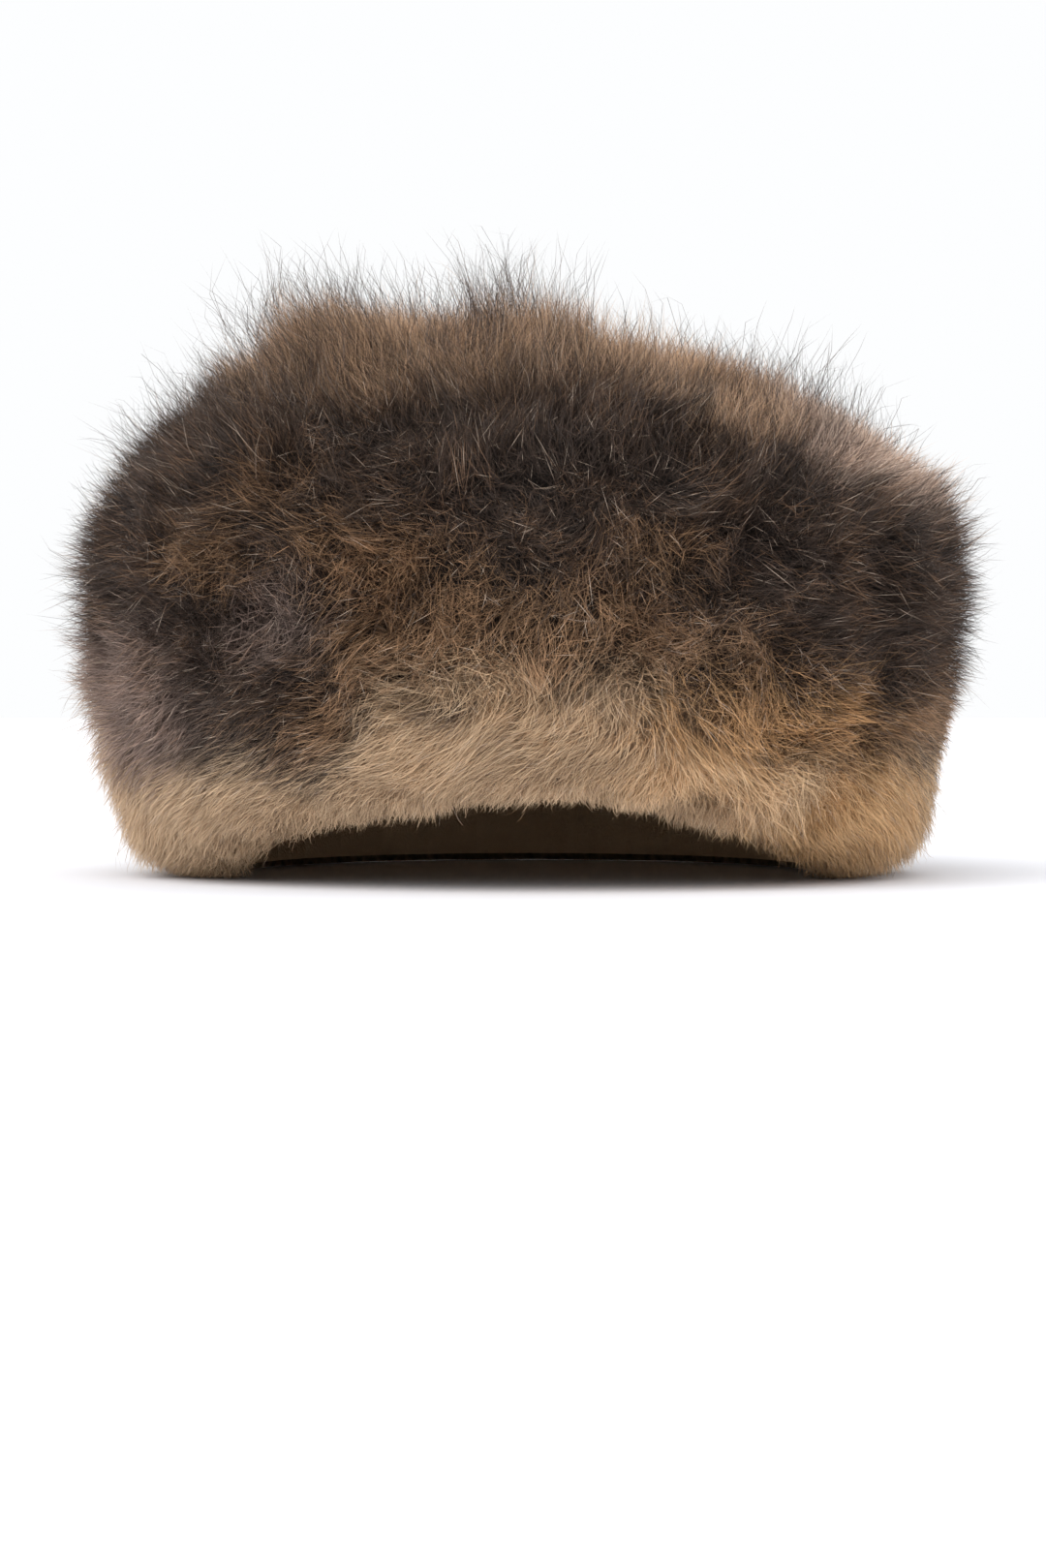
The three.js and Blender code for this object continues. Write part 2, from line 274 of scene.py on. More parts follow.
def hair_length(points):
    """The coat's length in millimetres. It is clipped short round the rim."""
    x, y, z = np.moveaxis(points, -1, 0)
    above_rim = z - brow_lift(x, y, 0)
    on_top = top_share(points)
    length = COAT_LENGTH + ABOVE_RIM_MORE * step(*ABOVE_RIM_HEIGHTS, z)
    length = length + ON_TOP_MORE * on_top + ON_CREST_MORE * crest(points)
    right = RIGHT_LESS * step(*RIGHT_UPPER, z) * step(*RIGHT_LOWER, z)
    right = right + RIGHT_WAIST_LESS * mound(z, RIGHT_WAIST_Z, RIGHT_WAIST_HIGH)
    length = length - right * step(*RIGHT_X, x)
    length = length + LOW_LEFT_MORE * step(*LOW_LEFT_X, x) * step(*LOW_LEFT_HEIGHTS, z)
    for tuft_x, tuft_y, radius, extra in TUFTS:
        near = np.exp(-((x - tuft_x) ** 2 + (y - tuft_y) ** 2) / radius**2)
        length = length + extra * near * on_top
    return length * (CLIPPED_SHARE + (1 - CLIPPED_SHARE) * step(*CLIPPED_HEIGHTS, above_rim))


def guard_overhang(points, out):
    """How many times longer the guard hairs are than the coat that they stand in."""
    x, z = points[..., 0], points[..., 2]
    low_left = GUARD_LOW_LEFT_MORE * step(*LOW_LEFT_X, x) * step(*GUARD_LOW_LEFT_HEIGHTS, z)
    more = GUARD_TOP_MORE + GUARD_CREST_MORE * crest(points) + GUARD_SHOULDER_MORE * shoulders(points)
    facing = GUARD_BACK_SHARE + (1 - GUARD_BACK_SHARE) * brow_side(out)
    return GUARD_LENGTH + low_left + more * step(*GUARD_TOP_HEIGHTS, z) * facing


def coat_crowding(points):
    """How close the coat stands: closest at the brow, and wider apart towards the back."""
    y, on_top = points[..., 1], top_share(points)
    on_band = 1
    for places, thinning in BAND_THINNING:
        on_band = on_band - thinning * step(*places, y)
    places, thinning = TOP_THINNING
    return on_band * (1 - on_top) + (1 - thinning * step(*places, y)) * on_top


def guard_crowding(points, out):
    """How many times closer the guard hairs stand on the crest and at its shoulders."""
    x, on_top = points[..., 0], top_share(points) * brow_side(out)
    wisps = sum(mound(x, middle, width) for middle, width in WISPS)
    on_crest = (CREST_CROWDING + WISP_CROWDING * wisps) * crest(points)
    return 1 + on_crest + SHOULDER_CROWDING * shoulders(points) * on_top


def hair_vectors(points, out):
    """How the hair leaves the surface and where its tip lies, from its root, in millimetres."""
    comb = comb_direction(points, out)
    length = hair_length(points)[..., None]
    up = np.zeros_like(out)
    up[..., 2] = step(*UPRIGHT_HEIGHTS, points[..., 2]) * step(0.6, -0.3, out[..., 1])
    flat = flat_hair(points)[..., None]
    loose = loose_hair(points, out)[..., None]
    leave = length * (LEAVE_OUT * out + LEAVE_COMBED * comb + LEAVE_UP * up)
    outwards = REACH_OUT - FLAT_OUT_LESS * flat
    combed = REACH_COMBED + FLAT_COMBED_MORE * flat - LOOSE_COMBED_LESS * loose
    reach = length * (outwards * out + combed * comb + REACH_UP * up)
    return leave, reach


# Tints of the coat, as soft patches: tint, middle x, y and z, and half sizes, in millimetres. A patch
# whose middle lies off the surface shows fainter.
TINTS = [
    ("brown", -22, -125, 67, 32, 60, 15),
    ("brown", -50, -125, 90, 15, 60, 6),
    ("brown", 32, -125, 86, 16, 60, 5),
    ("brown", -86, -110, 86, 15, 50, 6),
    ("brown", 8, -130, 58, 60, 60, 14),
    ("brown", -40, -125, 84, 24, 60, 10),
    ("brown", -74, -150, 105, 24, 50, 13),
    ("rust", 62, -85, 123, 22, 40, 5.5),
    ("rust", -38, -75, 149, 80, 80, 20),
    ("rust", 60, -70, 142, 50, 80, 15),
    ("brown", -10, 45, 150, 95, 90, 26),
    ("pale", 102, -48, 120, 30, 85, 18),
    ("pale", 77, -60, 131, 14, 60, 9),
    ("mauve", -117, -60, 45, 32, 60, 27),
    ("mauve", -72, -150, 67, 22, 50, 12),
    ("gold", -72, -110, 69, 4, 40, 2.5),
    ("gold", 92, -85, 14, 36, 70, 22),
    # Golden fur painted lighter by the rim at the right, where the lower band falls in shade: painted light.
    ("straw", 52, -120, 27, 38, 50, 8),
    ("amber", 58, -108, 43, 42, 45, 12),
    ("brown", 0, 130, 90, 90, 50, 26),
    ("dark", -24, -130, 44, 9, 40, 3.5),
    ("dark", 11, -130, 50, 5, 40, 3.5),
    ("dark", -52, -70, 166, 14, 40, 13),
    ("dark", -8, -70, 166, 12, 40, 13),
]
# Top of the tan band along the rim: across the brow, and the height that it reaches.
TAN_EDGE_X = [-128, -112, -98, -84, -70, -50, -38, 0, 40, 68, 95, 128]
TAN_EDGE_Z = [56, 44, 34, 27, 26, 34, 52, 59, 54, 34, 28, 36]
TAN_BACK_Z = 42
TAN_FADE = 15  # how far above and below that the tan fades out and in
# The edge winds in waves: height, waves round the hat and start. The last shows only behind the front.
TAN_WAVES = [(3, 11, 0), (2, 23, 1)]
TAN_BACK_WAVE = (7, 4, 1)
# A seam of brown lies between the tan and the dark. It is fainter at the left of the front.
SEAM_ABOVE_TAN, SEAM_SPREAD, SEAM_STRENGTH = 11, 13, 0.8
SEAM_FAINT_X, SEAM_FAINT_LESS = (-50, -80), 0.8
TINT_NAMES = ["brown", "tan", "gold", "rust", "pale", "dark", "amber", "mauve", "straw"]
# A hair has the tint of the place where its tip shows, at this share of its reach.
TINT_REACH = 0.7


def coat_tints(points, out):
    """How much of each tint the coat has at each point, from 0 to 1."""
    x, y, z = np.moveaxis(points, -1, 0)
    amounts = {name: np.zeros_like(x) for name in TINT_NAMES}
    for name, mid_x, mid_y, mid_z, wide, deep, high in TINTS:
        off = ((x - mid_x) / wide) ** 2 + ((y - mid_y) / deep) ** 2 + ((z - mid_z) / high) ** 2
        amounts[name] = np.maximum(amounts[name], np.exp(-(off**1.5)))
    front = step(0.3, -0.1, out[..., 1])
    edge = np.interp(x, TAN_EDGE_X, TAN_EDGE_Z) * front + TAN_BACK_Z * (1 - front)
    turn = np.arctan2(x, -y)
    above = z - edge
    for height, waves, start in TAN_WAVES:
        above = above + height * np.sin(waves * turn + start)
    height, waves, start = TAN_BACK_WAVE
    above = above + height * np.sin(waves * turn + start) * (1 - front)
    amounts["tan"] = step(TAN_FADE, -TAN_FADE, above)
    fainter = 1 - SEAM_FAINT_LESS * front * step(*SEAM_FAINT_X, x)
    seam = SEAM_STRENGTH * mound(above, SEAM_ABOVE_TAN, SEAM_SPREAD) * fainter
    amounts["brown"] = np.maximum(amounts["brown"], seam)
    return amounts


def closed_mesh(name, grid, faces_rows):
    """A mesh over a grid of rows and turns, in metres, with the hat's own place added."""
    rows, turns, _ = grid.shape
    mesh = bpy.data.meshes.new(name)
    points = grid.reshape(-1, 3) * MM + np.array([AXIS_X, AXIS_Y, 0])
    faces = []
    for row, above in faces_rows:
        for turn in range(turns):
            beside = (turn + 1) % turns
            corners = [(row, turn), (row, beside), (above, beside), (above, turn)]
            faces.append([corner_row * turns + corner_turn for corner_row, corner_turn in corners])
    mesh.from_pydata(points.tolist(), [], faces)
    return mesh


def store_on_points(mesh, arrays):
    """Stores each array on the mesh's points by its name, as vectors or as numbers."""
    for name, values in arrays.items():
        kind, slot = ("FLOAT_VECTOR", "vector") if values.ndim == 3 else ("FLOAT", "value")
        attribute = mesh.attributes.new(name, kind, "POINT")
        attribute.data.foreach_set(slot, values.astype(np.float32).ravel())


# How strongly the hairs of a lock come together: less where the hair lies flat.
TOGETHER_EVEN, TOGETHER_LOOSE_MORE, TOGETHER_FLAT_LESS = 0.6, 0.4, 0.25


def comb_coat(mesh, grid, out, overhang, crowding):
    """Stores on each point how its hair leaves, where its tip lies, how close it stands, and its tints."""
    leave, reach = hair_vectors(grid, out)
    scale = overhang[..., None] * MM
    loose = TOGETHER_EVEN + TOGETHER_LOOSE_MORE * loose_hair(grid, out) - TOGETHER_FLAT_LESS * flat_hair(grid)
    hair = {"out": out, "leave": leave * scale, "reach": reach * scale, "crowding": crowding, "loose": loose}
    store_on_points(mesh, hair)
    store_on_points(mesh, coat_tints(grid + TINT_REACH * reach, out))


def add_object(name, data):
    thing = bpy.data.objects.new(name, data)
    bpy.context.scene.collection.objects.link(thing)
    return thing


# Colours and materials
def linear(code):
    """An sRGB colour such as #aabbcc as linear red, green, blue and alpha."""
    parts = [int(code[i : i + 2], 16) / 255 for i in (1, 3, 5)]
    return [p / 12.92 if p <= 0.04045 else ((p + 0.055) / 1.055) ** 2.4 for p in parts] + [1]


def add(tree, kind, links=(), **settings):
    """Adds a node with its settings. Links gives each input a value, or a node or socket that feeds it."""
    node = tree.nodes.new(kind)
    for name, value in settings.items():
        setattr(node, name, value)
    for key, value in dict(links).items():
        open_inputs = [s for s in node.inputs if s.enabled]
        socket = open_inputs[key] if isinstance(key, int) else next(s for s in open_inputs if s.name == key)
        if isinstance(value, bpy.types.Node):
            value = next(s for s in value.outputs if s.enabled)
        if isinstance(value, bpy.types.NodeSocket):
            tree.links.new(value, socket)
        else:
            socket.default_value = value
    return node


def new_material(name, build, **shader_values):
    """A material whose build function gives the links of its main shader."""
    material = bpy.data.materials.new(name)
    material.use_nodes = True
    tree = material.node_tree
    tree.nodes.clear()
    links = {name.replace("_", " "): value for name, value in shader_values.items()}
    shader = add(tree, "ShaderNodeBsdfPrincipled", {**links, **build(tree)})
    add(tree, "ShaderNodeOutputMaterial", {"Surface": shader})
    return material


# Brushed fur is long keratin fibre: a soft gloss along each hair, dark at the root and paler towards
# the tip. That dark lower part is partly the hair's own colour and partly painted shade, with only the
# end kept pale as if only the tips caught the light. A hair carries a tone of its own from 0 to 1, the
# coat's tints, and how far along it one is.
COAT_COLOURS = {
    # tint: root, tip
    "dark": ("#231b17", "#5b4a3f"),
    "brown": ("#3b2c22", "#c69c76"),
    "tan": ("#c2a484", "#dcbf9c"),
    "gold": ("#c29a6c", "#eac292"),
    "rust": ("#403028", "#e2bb97"),
    "pale": ("#9f8474", "#eed4c0"),
    "amber": ("#553d28", "#f0bc84"),
    # Golden fur colours raised with painted light, to lighten the shaded band by the rim.
    "straw": ("#cfac82", "#f8d6ae"),
    "mauve": ("#57473f", "#b0978a"),
}
ROOT, TIP = 0, 1
TONE_SHUFFLE = 7.3  # the fraction of tone times this is a second number of the hair's own
SPECKLE = 0.6  # how widely hairs of two tints mix where one gives way to the other
# Along each hair, where the tip colour takes over: painted shade keeps the lower hair dark.
TIP_FADE_AND_PAINTED_SHADE = {"From Min": 0.5, "From Max": 0.92}
TUFT_SIZE = 12.5 * MM
TUFT_SHADES = {"From Min": 0.38, "From Max": 0.62, "To Min": 0.72, "To Max": 1.28}
TONE_POWER = 5.0  # most hairs are a little darker than their tint, and a few are much lighter
TONE_SHADES = {"To Min": 0.8, "To Max": 1.7}
TAN_ALIKE = 0.65
RUST_END = "#987456"
RUST_SHIFT, RUST_SPAN = -0.12, {"From Min": 0.66, "From Max": 0.84, "To Max": 0.85}
# Painted glint: the pale colour that stands in for a highlight, the tone above which a hair takes it, and
# where along the hair it comes in.
PAINTED_GLINT = "#cdb9a6"
PAINTED_GLINT_TONE, PAINTED_GLINT_SPAN = 0.955, {"From Min": 0.7, "From Max": 0.8}


def tint_mix(tree, end):
    """The coat's colour at the root or the tip, mixed by the tints painted on it.

    Where one tint gives way to another, each hair takes a side, so that the colours blend in specks.
    """
    colour = linear(COAT_COLOURS["dark"][end])
    side = add(tree, "ShaderNodeAttribute", attribute_name="tone").outputs["Fac"]
    side = add(tree, "ShaderNodeMath", {0: side, 1: TONE_SHUFFLE}, operation="MULTIPLY")
    side = add(tree, "ShaderNodeMath", {0: side}, operation="FRACT")
    for name in TINT_NAMES:
        amount = add(tree, "ShaderNodeAttribute", attribute_name=name).outputs["Fac"]
        amount = add(tree, "ShaderNodeMath", {0: side, 1: SPECKLE, 2: amount}, operation="MULTIPLY_ADD")
        amount = add(tree, "ShaderNodeMapRange", {"Value": amount, "From Min": SPECKLE, "From Max": 1.0})
        sides = {"Factor": amount, "A": colour, "B": linear(COAT_COLOURS[name][end])}
        colour = add(tree, "ShaderNodeMix", sides, data_type="RGBA")
    return colour


def hair_finish(tree):
    along = add(tree, "ShaderNodeAttribute", attribute_name="along").outputs["Fac"]
    tone = add(tree, "ShaderNodeAttribute", attribute_name="tone").outputs["Fac"]
    tan = add(tree, "ShaderNodeAttribute", attribute_name="tan").outputs["Fac"]
    # Painted shade: the tip colour comes in only near the end, so the lower hair stays dark.
    fade = add(tree, "ShaderNodeMapRange", {"Value": along, **TIP_FADE_AND_PAINTED_SHADE})
    ends = {"Factor": fade, "A": tint_mix(tree, ROOT), "B": tint_mix(tree, TIP)}
    hair = add(tree, "ShaderNodeMix", ends, data_type="RGBA")
    # Single hairs differ in shade, and so do tufts.
    place = add(tree, "ShaderNodeTexCoord").outputs["Object"]
    tuft = add(tree, "ShaderNodeTexNoise", {"Vector": place, "Scale": 1 / TUFT_SIZE, "Detail": 3.0})
    tuft = add(tree, "ShaderNodeMapRange", {"Value": tuft, **TUFT_SHADES})
    shade = add(tree, "ShaderNodeMath", {0: tone, 1: TONE_POWER}, operation="POWER")
    shade = add(tree, "ShaderNodeMapRange", {"Value": shade, **TONE_SHADES})
    shade = add(tree, "ShaderNodeMath", {0: shade, 1: tuft}, operation="MULTIPLY")
    # The tan hairs are more alike than the dark ones.
    alike = add(tree, "ShaderNodeMath", {0: tan, 1: TAN_ALIKE}, operation="MULTIPLY")
    shade = add(tree, "ShaderNodeMix", {"Factor": alike, "A": shade, "B": 1.0}, data_type="FLOAT")
    hair = add(tree, "ShaderNodeVectorMath", {0: hair, 1: shade}, operation="MULTIPLY")
    # About a fifth of the hairs that aren't tan have a rust end, more in some tufts than in others.
    warm = add(tree, "ShaderNodeMath", {0: tone, 1: tuft, 2: RUST_SHIFT}, operation="MULTIPLY_ADD")
    warm = add(tree, "ShaderNodeMapRange", {"Value": warm, **RUST_SPAN})
    warm = add(tree, "ShaderNodeMath", {0: warm, 1: fade}, operation="MULTIPLY")
    plain = add(tree, "ShaderNodeMath", {0: 1.0, 1: tan}, operation="SUBTRACT")
    warm = add(tree, "ShaderNodeMath", {0: warm, 1: plain}, operation="MULTIPLY")
    hair = add(tree, "ShaderNodeMix", {"Factor": warm, "A": hair, "B": linear(RUST_END)}, data_type="RGBA")
    # Painted glint: about one hair in twenty has a pale colour painted near its end, standing in for a
    # highlight.
    painted_glint = add(tree, "ShaderNodeMath", {0: tone, 1: PAINTED_GLINT_TONE}, operation="GREATER_THAN")
    end = add(tree, "ShaderNodeMapRange", {"Value": along, **PAINTED_GLINT_SPAN})
    painted_glint = add(tree, "ShaderNodeMath", {0: painted_glint, 1: end}, operation="MULTIPLY")
    hair = add(tree, "ShaderNodeMix", {"Factor": painted_glint, "A": hair, "B": linear(PAINTED_GLINT)}, data_type="RGBA")
    return {"Base Color": hair}


# Guard hair is coarser and glossier keratin: dark single lines that stand out of the coat, paler where
# the coat is tan. One in fifty carries a painted glint: a pale colour painted along the whole hair, standing
# in for a highlight.
GUARD_DARK, GUARD_LIGHT, GUARD_TAN = "#2a201b", "#5d493c", "#b09274"
GUARD_PAINTED_GLINT, GUARD_PAINTED_GLINT_TONE = "#b8a18c", 0.98


def guard_finish(tree):
    tone = add(tree, "ShaderNodeAttribute", attribute_name="tone").outputs["Fac"]
    tan = add(tree, "ShaderNodeAttribute", attribute_name="tan").outputs["Fac"]
    # A pale colour painted on one guard hair in fifty stands in for a glint of light.
    pale = add(tree, "ShaderNodeMath", {0: tone, 1: GUARD_PAINTED_GLINT_TONE}, operation="GREATER_THAN")
    shade = linear(GUARD_DARK)
    for amount, colour in [(tone, GUARD_LIGHT), (tan, GUARD_TAN), (pale, GUARD_PAINTED_GLINT)]:
        sides = {"Factor": amount, "A": shade, "B": linear(colour)}
        shade = add(tree, "ShaderNodeMix", sides, data_type="RGBA")
    return {"Base Color": shade}


# Underfur is short, matted down: it has no gloss. Near-black painted shade is mottled into it for the dark
# gaps where the eye looks into it.
DOWN_PAINTED_SHADE, DOWN_PAINTED_SHADE_SIZE = "#0e0a07", 2.5 * MM


def underfur_finish(tree):
    place = add(tree, "ShaderNodeTexCoord").outputs["Object"]
    painted_shade_mottle = add(tree, "ShaderNodeTexNoise", {"Vector": place, "Scale": 1 / DOWN_PAINTED_SHADE_SIZE, "Detail": 3.0})
    # Painted shade: near black mixed in by noise, for the gaps between hairs.
    sides = {"Factor": painted_shade_mottle, "A": tint_mix(tree, ROOT), "B": linear(DOWN_PAINTED_SHADE)}
    return {"Base Color": add(tree, "ShaderNodeMix", sides, data_type="RGBA")}


# The inside of the pelt is tanned and buffed to suede: matt, pale brown and a little cloudy. Its nap is
# finer than a render shows, so it is drawn coarser.
SUEDE_DEEP, SUEDE_PALE = "#a98b6a", "#c9ae8c"
SUEDE_CLOUD_SIZE, SUEDE_NAP_SIZE, SUEDE_NAP_DEPTH = 22.2 * MM, 0.714 * MM, 0.4 * MM


def suede_finish(tree):
    place = add(tree, "ShaderNodeTexCoord").outputs["Object"]
    cloud = add(tree, "ShaderNodeTexNoise", {"Vector": place, "Scale": 1 / SUEDE_CLOUD_SIZE, "Detail": 4.0})
    colours = {"Factor": cloud, "A": linear(SUEDE_DEEP), "B": linear(SUEDE_PALE)}
    colour = add(tree, "ShaderNodeMix", colours, data_type="RGBA")
    nap = add(tree, "ShaderNodeTexNoise", {"Vector": place, "Scale": 1 / SUEDE_NAP_SIZE, "Detail": 2.0})
    bump = add(tree, "ShaderNodeBump", {"Height": nap, "Strength": 0.5, "Distance": SUEDE_NAP_DEPTH})
    return {"Base Color": colour, "Normal": bump}


def paper_finish(tree):
    """Matt white paper: a plain pale ground with soft shadows."""
    return {"Base Color": linear("#f2f2f6")}


fur_hair = new_material("brushed_fur_hair", hair_finish, Roughness=0.55, Specular_IOR_Level=0.28)
guard_fur = new_material("coarse_guard_hair", guard_finish, Roughness=0.45, Specular_IOR_Level=0.4)
underfur = new_material("felted_underfur", underfur_finish, Roughness=0.95)
suede = new_material("tanned_suede", suede_finish, Roughness=0.9)
paper = new_material("white_paper", paper_finish, Roughness=0.8)


# Geometry Nodes: a coat of hair on a patch of the undercoat
JOINT_POWER = 0.7  # below 1, a hair's joints lie nearer its tip, which curls the most


def hair_template(segments):
    """One flat hair, one unit long and one wide, pointed at both ends. It is placed and bent later."""
    mesh = bpy.data.meshes.new("hair_template")
    heights = [(i / segments) ** JOINT_POWER for i in range(1, segments)]
    points = [(0, 0, 0)] + [(side, 0, height) for height in heights for side in (-0.5, 0.5)]
    points.append((0, 0, 1))
    last = len(points) - 1
    faces = [(0, 2, 1)]
    faces += [(i, i + 1, i + 3, i + 2) for i in range(1, last - 2, 2)]
    faces.append((last - 2, last - 1, last))
    mesh.from_pydata(points, [], faces)
    mesh.polygons.foreach_set("use_smooth", [True] * len(faces))
    return add_object("hair_template", mesh)


COAT_SOCKETS = [
    ("Geometry", "Geometry"),
    ("Whole Coat", "Object"),
    ("One Hair", "Object"),
    ("Hairs per Square Metre", "Float"),
    ("Locks per Square Metre", "Float"),
    ("Shortest", "Float"),
    ("Width", "Float"),
    ("Drawn Together", "Float"),
    ("Curl", "Float"),
    ("Curl Size", "Float"),
    ("Frizz", "Float"),
    ("Stray", "Float"),
    ("Bake Cells Across", "Float"),
    ("Seed", "Int"),
    ("Finish", "Material"),
]
# What the tree reads by name on the points, from the patch or from a step of its own. The finished
# hair does without them.
WORKING_VECTORS = ["out", "leave", "reach", "root", "draw", "bulge", "roll", "flat"]
WORKING_NUMBERS = ["crowding", "loose", "growth", "cell"]
SEEDS = {"locks": 11, "lock size": 3, "lock stray": 5, "together": 21, "tone": 13}
ANY_WAY_SEEDS = {"astray": 31, "bulge": 41, "roll": 8}
LOCK_SIZES, LOCK_STRAY = {"Min": 0.75, "Max": 1.15}, 5 * MM
GROWTH_POWER = 2.2  # most hairs are short, and a few have their full length
TOGETHER_SHARES = {"Min": 0.35, "Max": 1.0}
ROLL_OUT = (1.1, 1.1, 1.1)  # a hair's flat side turns any way round this much of the way outwards
FRIZZ_PER_METRE = 380.0
CURL_PLACE, FRIZZ_PLACE = 0.0, 4.0  # each noise is taken at a place of its own
TAPER = -0.4  # what the tip adds to a hair's width, as a share of it
GROUND_GAP = 0.3 * MM
# A hair's own cell of the bake: shares of the cell, and where in it the hair begins.
CELL_WIDE, CELL_MIDDLE = 0.6, 0.5
CELL_HIGH, CELL_FOOT = 0.8, 0.1


def coat_tree():
    """Grows hairs on a patch. Their tips draw together in locks, which the whole coat shares."""
    tree = bpy.data.node_groups.new("grow_coat", "GeometryNodeTree")
    for name, kind in COAT_SOCKETS:
        tree.interface.new_socket(name=name, in_out="INPUT", socket_type="NodeSocket" + kind)
    tree.interface.new_socket(name="Geometry", in_out="OUTPUT", socket_type="NodeSocketGeometry")
    given = tree.nodes.new("NodeGroupInput").outputs
    here = {}
    for kind, names in (("FLOAT_VECTOR", WORKING_VECTORS + ["lock_tip"]), ("FLOAT", WORKING_NUMBERS)):
        for name in names:
            here[name] = add(tree, "GeometryNodeInputNamedAttribute", {"Name": name}, data_type=kind)
    place = add(tree, "GeometryNodeInputPosition")
    any_way = {}
    for name, seed in ANY_WAY_SEEDS.items():
        span = {"Min": (-1, -1, -1), "Max": (1, 1, 1), "Seed": seed}
        any_way[name] = add(tree, "FunctionNodeRandomValue", span, data_type="FLOAT_VECTOR")

    # Locks: a sparse set of points, each with the place of its tip.
    whole = add(tree, "GeometryNodeObjectInfo", {"Object": given["Whole Coat"]}).outputs["Geometry"]
    scatter = {"Mesh": whole, "Density": given["Locks per Square Metre"], "Seed": SEEDS["locks"]}
    locks = add(tree, "GeometryNodeDistributePointsOnFaces", scatter).outputs["Points"]
    sizes = {**LOCK_SIZES, "Seed": SEEDS["lock size"]}
    size = add(tree, "FunctionNodeRandomValue", sizes, data_type="FLOAT")
    tip = add(tree, "ShaderNodeVectorMath", {0: here["reach"], 1: size, 2: place}, operation="MULTIPLY_ADD")
    span = {"Min": (-LOCK_STRAY,) * 3, "Max": (LOCK_STRAY,) * 3, "Seed": SEEDS["lock stray"]}
    stray = add(tree, "FunctionNodeRandomValue", span, data_type="FLOAT_VECTOR")
    tip = add(tree, "ShaderNodeVectorMath", {0: tip, 1: stray}, operation="ADD")
    stored = {"Geometry": locks, "Name": "lock_tip", "Value": tip}
    locks = add(tree, "GeometryNodeStoreNamedAttribute", stored, data_type="FLOAT_VECTOR", domain="POINT")

    # Hairs: a dense set of points on the patch.
    density = {0: given["Hairs per Square Metre"], 1: here["crowding"]}
    density = add(tree, "ShaderNodeMath", density, operation="MULTIPLY")
    scatter = {"Mesh": given["Geometry"], "Density": density, "Seed": given["Seed"]}
    hairs = add(tree, "GeometryNodeDistributePointsOnFaces", scatter).outputs["Points"]
    span = {"Min": 0.0, "Max": 1.0, "Seed": given["Seed"]}
    growth = add(tree, "FunctionNodeRandomValue", span, data_type="FLOAT")
    growth = add(tree, "ShaderNodeMath", {0: growth, 1: GROWTH_POWER}, operation="POWER")
    growth = add(tree, "ShaderNodeMapRange", {"Value": growth, "To Min": given["Shortest"], "To Max": 1.0})
    span = {"Min": 0.0, "Max": 1.0, "Seed": SEEDS["tone"]}
    tone = add(tree, "FunctionNodeRandomValue", span, data_type="FLOAT")

    # The tip is drawn towards the tip of the nearest lock. Only the part of the draw that lies across
    # the hair is kept, so that hairs keep their lengths.
    tip = add(tree, "ShaderNodeVectorMath", {0: here["reach"], 1: growth, 2: place}, operation="MULTIPLY_ADD")
    search = {"Geometry": locks, "Sample Position": place}
    nearest = add(tree, "GeometryNodeSampleNearest", search, domain="POINT")
    sample = {"Geometry": locks, "Value": here["lock_tip"], "Index": nearest}
    goal = add(tree, "GeometryNodeSampleIndex", sample, data_type="FLOAT_VECTOR", domain="POINT")
    draw = add(tree, "ShaderNodeVectorMath", {0: goal, 1: tip}, operation="SUBTRACT")
    heading = add(tree, "ShaderNodeVectorMath", {0: here["reach"]}, operation="NORMALIZE")
    lengthwise = add(tree, "ShaderNodeVectorMath", {0: draw, 1: heading}, operation="DOT_PRODUCT")
    lengthwise = {0: heading, "Scale": lengthwise.outputs["Value"]}
    lengthwise = add(tree, "ShaderNodeVectorMath", lengthwise, operation="SCALE")
    draw = add(tree, "ShaderNodeVectorMath", {0: draw, 1: lengthwise}, operation="SUBTRACT")
    shares = {**TOGETHER_SHARES, "Seed": SEEDS["together"]}
    together = add(tree, "FunctionNodeRandomValue", shares, data_type="FLOAT")
    for share in (given["Drawn Together"], here["loose"]):
        together = add(tree, "ShaderNodeMath", {0: together, 1: share}, operation="MULTIPLY")
    draw = add(tree, "ShaderNodeVectorMath", {0: draw, "Scale": together}, operation="SCALE")
    stray = add(tree, "ShaderNodeMath", {0: given["Stray"], 1: here["loose"]}, operation="MULTIPLY")
    draw = {0: any_way["astray"], 1: stray, 2: draw}
    draw = add(tree, "ShaderNodeVectorMath", draw, operation="MULTIPLY_ADD")
    bulge = {0: any_way["bulge"], "Scale": stray}
    bulge = add(tree, "ShaderNodeVectorMath", bulge, operation="SCALE")
    roll = {0: here["out"], 1: ROLL_OUT, 2: any_way["roll"]}
    roll = add(tree, "ShaderNodeVectorMath", roll, operation="MULTIPLY_ADD")

    # Each hair takes its own values with it.
    own_values = [
        ("root", "FLOAT_VECTOR", place),
        ("growth", "FLOAT", growth),
        ("draw", "FLOAT_VECTOR", draw),
        ("bulge", "FLOAT_VECTOR", bulge),
        ("roll", "FLOAT_VECTOR", roll),
        ("tone", "FLOAT", tone),
        ("cell", "FLOAT", add(tree, "GeometryNodeInputIndex")),
    ]
    for name, kind, value in own_values:
        stored = {"Geometry": hairs, "Name": name, "Value": value}
        hairs = add(tree, "GeometryNodeStoreNamedAttribute", stored, data_type=kind, domain="POINT")
    one_hair = add(tree, "GeometryNodeObjectInfo", {"Object": given["One Hair"]}).outputs["Geometry"]
    hairs = add(tree, "GeometryNodeInstanceOnPoints", {"Points": hairs, "Instance": one_hair})
    hairs = add(tree, "GeometryNodeRealizeInstances", {"Geometry": hairs})

